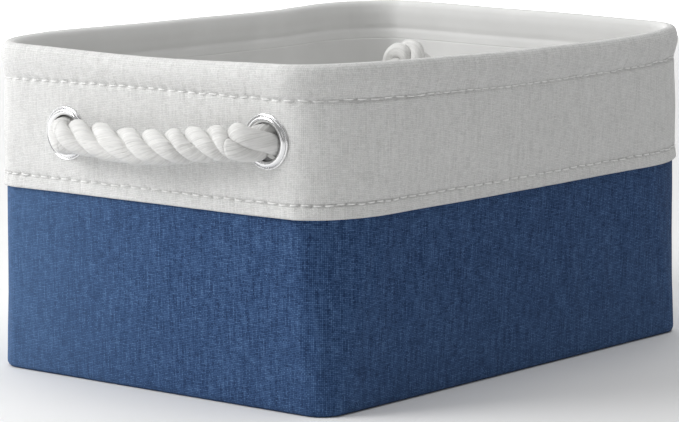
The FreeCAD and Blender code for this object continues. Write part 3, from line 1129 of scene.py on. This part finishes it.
# How far out and down the handle bows, where its bends are, and the steps along it
ARCH_BOW = 4.5
ARCH_SAG = 3.0
ARCH_BEND_V = 40.46
ARCH_MIDDLE_V = 13.49
ARCH_STEP = 0.7
LEG_STEP = 0.8


def arch_line():
    """Centreline of the free stretch of rope, from the rear join to the front one."""
    out = ELBOW_START + ELBOW_RADIUS
    route = [
        (out, -JOIN_V, 0.0),
        (out, -ARCH_BEND_V, 0.0),
        (out + ARCH_BOW, -ARCH_MIDDLE_V, -ARCH_SAG),
        (out + ARCH_BOW, ARCH_MIDDLE_V, -ARCH_SAG),
        (out, ARCH_BEND_V, 0.0),
        (out, JOIN_V, 0.0),
    ]
    return even_line(spline_points(route), ARCH_STEP)


ARCH_LENGTH = float(arch_line()[2][-1])


def leg_line(side):
    """Centreline from the join round the elbow, through the wall and on to the cut end."""
    sign = 1.0 if side == "front" else -1.0
    v = eyelet_v(side)
    out = ELBOW_START + ELBOW_RADIUS
    turn = [(out, v - sign * ELBOW_RADIUS, 0.0), (out, v, 0.0), (ELBOW_START, v, 0.0)]
    bend = spline_points(turn, (1.0, math.sqrt(0.5), 1.0))
    first = np.array([[out, sign * JOIN_V, 0.0]])
    last = np.array([[-TAIL_END, v, 0.0]])
    line, ahead, at = even_line(np.concatenate([first, bend, last]), LEG_STEP)
    if side == "rear":
        return line[::-1], -ahead[::-1], -at[::-1]
    return line, ahead, at


def tail_girth(line):
    """Rope drawn in where it's bound."""
    return 1.0 - 0.06 * hump(line[:, 0] - BOUND_MIDDLE, 5.5)


def add_rope(end, cotton, thread):
    """One handle: the free stretch, the two legs through the wall, their knots and bindings."""
    line, ahead, at = arch_line()
    ahead[0] = ahead[-1] = (0.0, 1.0, 0.0)
    arch = rope_skin(f"{end}_rope_free", line, ahead, at, end, cotton, f"{end}_handle_arch",
                     np.ones(len(line)))
    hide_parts(f"{end}_rope_arch")
    for side in ("front", "rear"):
        line, ahead, run = leg_line(side)
        ahead[0 if side == "front" else -1] = (0.0, 1.0, 0.0)
        distance = run + at[-1] if side == "front" else run
        leg = rope_skin(f"{end}_{side}_rope_through", line, ahead, distance, end, cotton,
                        f"{end}_handle_ends", tail_girth(line))
        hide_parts(f"{end}_{side}_rope_leg", f"{end}_{side}_rope_tail")
        add_knot(end, side, cotton)
        add_whipping(end, side, thread)


# The knot's coil
KNOT_TURNS = 1.55
KNOT_FIRST_ANGLE = 1.9
KNOT_TUCK = 0.16
KNOT_CORE = 5.0
KNOT_SPREAD = 7.7
KNOT_INSET = 8.6
KNOT_TALL = 1.4
KNOT_NARROW = 0.75
KNOT_GIRTH = 0.93
KNOT_LAY = 20.8


def add_knot(end, side, cotton):
    """Rope wrapped round itself, its turns diving back under each other."""
    share = np.linspace(0.0, 1.0, 160)
    angle = TAU * (KNOT_TURNS * share) + KNOT_FIRST_ANGLE
    tuck = np.clip(np.minimum(share, 1.0 - share) / KNOT_TUCK, 0.0, 1.0)
    tuck = tuck * tuck * (3.0 - 2.0 * tuck)
    radius = KNOT_CORE + KNOT_SPREAD * tuck
    u = -KNOT_START - KNOT_INSET - (KNOT_END - KNOT_START - 2.0 * KNOT_INSET) * share
    height = radius * np.sin(angle)
    height = np.where(height > 0.0, KNOT_TALL * height, height)
    route = np.stack([u, eyelet_v(side) + KNOT_NARROW * radius * np.cos(angle), height], 1)
    line, ahead, at = even_line(route, LEG_STEP)
    girth = np.full(len(line), KNOT_GIRTH)
    knot = rope_skin(f"{end}_{side}_knot_turns", line, ahead, at + KNOT_LAY, end, cotton,
                     f"{end}_handle_ends", girth, up=(1.0, 0.0, 0.0), in_handle=False)
    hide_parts(f"{end}_{side}_knot")


def add_whipping(end, side, thread):
    """Turns of thread bound round the cut end."""
    inner, outer, ridge = BINDING_RADII
    u = np.linspace(0.0, BINDING_START - BINDING_END, 97)
    surface = outer + ridge * np.abs(np.sin(u * math.pi / BINDING_TURN))
    profile = [(BINDING_END + a, r) for a, r in zip(u, surface)]
    profile += [(BINDING_START, inner), (BINDING_END, inner)]
    binding = revolve(f"{end}_{side}_binding", profile[::-1], BINDING_SEGMENTS, end, side, thread,
                      f"{end}_handle_ends")
    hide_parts(f"{end}_{side}_whipping")


# ---- kept CAD nodes


def dress(material, slot, *nodes):
    """Give CAD nodes that stay in view their finish."""
    for name in nodes:
        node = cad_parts[name]
        node.data.materials.clear()
        node.data.materials.append(material)


# ---- stage


def add_area_light(name, position, aim, size, power):
    """Soft round light."""
    lamp = bpy.data.lights.new(name, "AREA")
    lamp.shape = "DISK"
    lamp.size = size
    lamp.energy = power
    holder = show(name, lamp)
    holder.location = position
    holder.rotation_euler = (Vector(aim) - Vector(position)).to_track_quat("-Z", "Y").to_euler()


def add_sheet(name, corners, material):
    """Flat four-cornered piece of the stage."""
    mesh = bpy.data.meshes.new(name)
    mesh.from_pydata(corners, [], [(0, 1, 2, 3)])
    mesh.materials.append(material)
    show(name, mesh)


def white_paper():
    """Bright white paper."""
    paper = bpy.data.materials.new("white_paper")
    paper.use_nodes = True
    shader = paper.node_tree.nodes["Principled BSDF"]
    shader.inputs["Emission Color"].default_value = (1.0, 1.0, 1.0, 1.0)
    shader.inputs["Emission Strength"].default_value = 0.9
    return paper


def add_world():
    """Even light from all round."""
    world = bpy.data.worlds.new("studio")
    world.use_nodes = True
    background = world.node_tree.nodes["Background"]
    background.inputs["Color"].default_value = (1.0, 1.0, 1.0, 1.0)
    background.inputs["Strength"].default_value = 0.30
    bpy.context.scene.world = world


def add_stage():
    """Pale floor, paper well behind the bin, and soft studio light, brighter from the rope end."""
    floor = [(-6.0, -6.0, 0.0), (6.0, -6.0, 0.0), (6.0, 6.0, 0.0), (-6.0, 6.0, 0.0)]
    add_sheet("floor", floor, studio_floor())
    paper = [(-2.2, 3.4, 0.0), (2.0, 0.6, 0.0), (2.0, 0.6, 2.4), (-2.2, 3.4, 2.4)]
    add_sheet("backdrop", paper, white_paper())
    add_area_light("key", (-1.15, 0.80, 0.95), aim=(-0.1, 0.0, 0.08), size=1.0, power=17.4)
    add_area_light("fill", (-1.5, -1.6, 0.9), aim=(0.0, 0.0, 0.08), size=1.0, power=1.0)
    add_area_light("top", (0.2, -0.5, 2.2), aim=(0.0, 0.0, 0.05), size=2.0, power=14.0)
    add_world()


# ---- build


cotton = cotton_rope()
thread = sewing_thread()
for end in ("left", "right"):
    add_rope(end, cotton, thread)
blue = blue_canvas("flat")
lining = lining_cloth("flat")
grey = felt()
add_cuff(white_canvas(), lining)
add_lower_wall(blue, grey, lining)
add_upper_wall(grey, lining)
add_stitching(thread)
chrome = bright_metal("chrome", (0.80, 0.80, 0.81), (0.88, 0.88, 0.88), roughness=0.11, brushed=0.004 * MM)
# Near-black metal for the eyelet bores: painted shade
bore_shade_metal = bright_metal("bore_shade_metal", (0.10, 0.10, 0.10), (0.20, 0.20, 0.20), roughness=0.55,
                          brushed=0.01 * MM)
for end in ("left", "right"):
    add_eyelets(end, chrome, bore_shade_metal)
    dress(chrome, "eyelet_metal", f"{end}_front_eyelet_washer", f"{end}_rear_eyelet_washer")
add_base_panel(blue_canvas("object"))
dress(lining_cloth("object"), "lining", "floor_lining")
dress(board(), "board", "base_board")
steel = bright_metal("spring_steel", (0.42, 0.42, 0.43), (0.60, 0.60, 0.61), roughness=0.25,
                     brushed=0.01 * MM)
dress(steel, "steel_wire", "rim_wire", "rim_wire_sleeve")
add_stage()
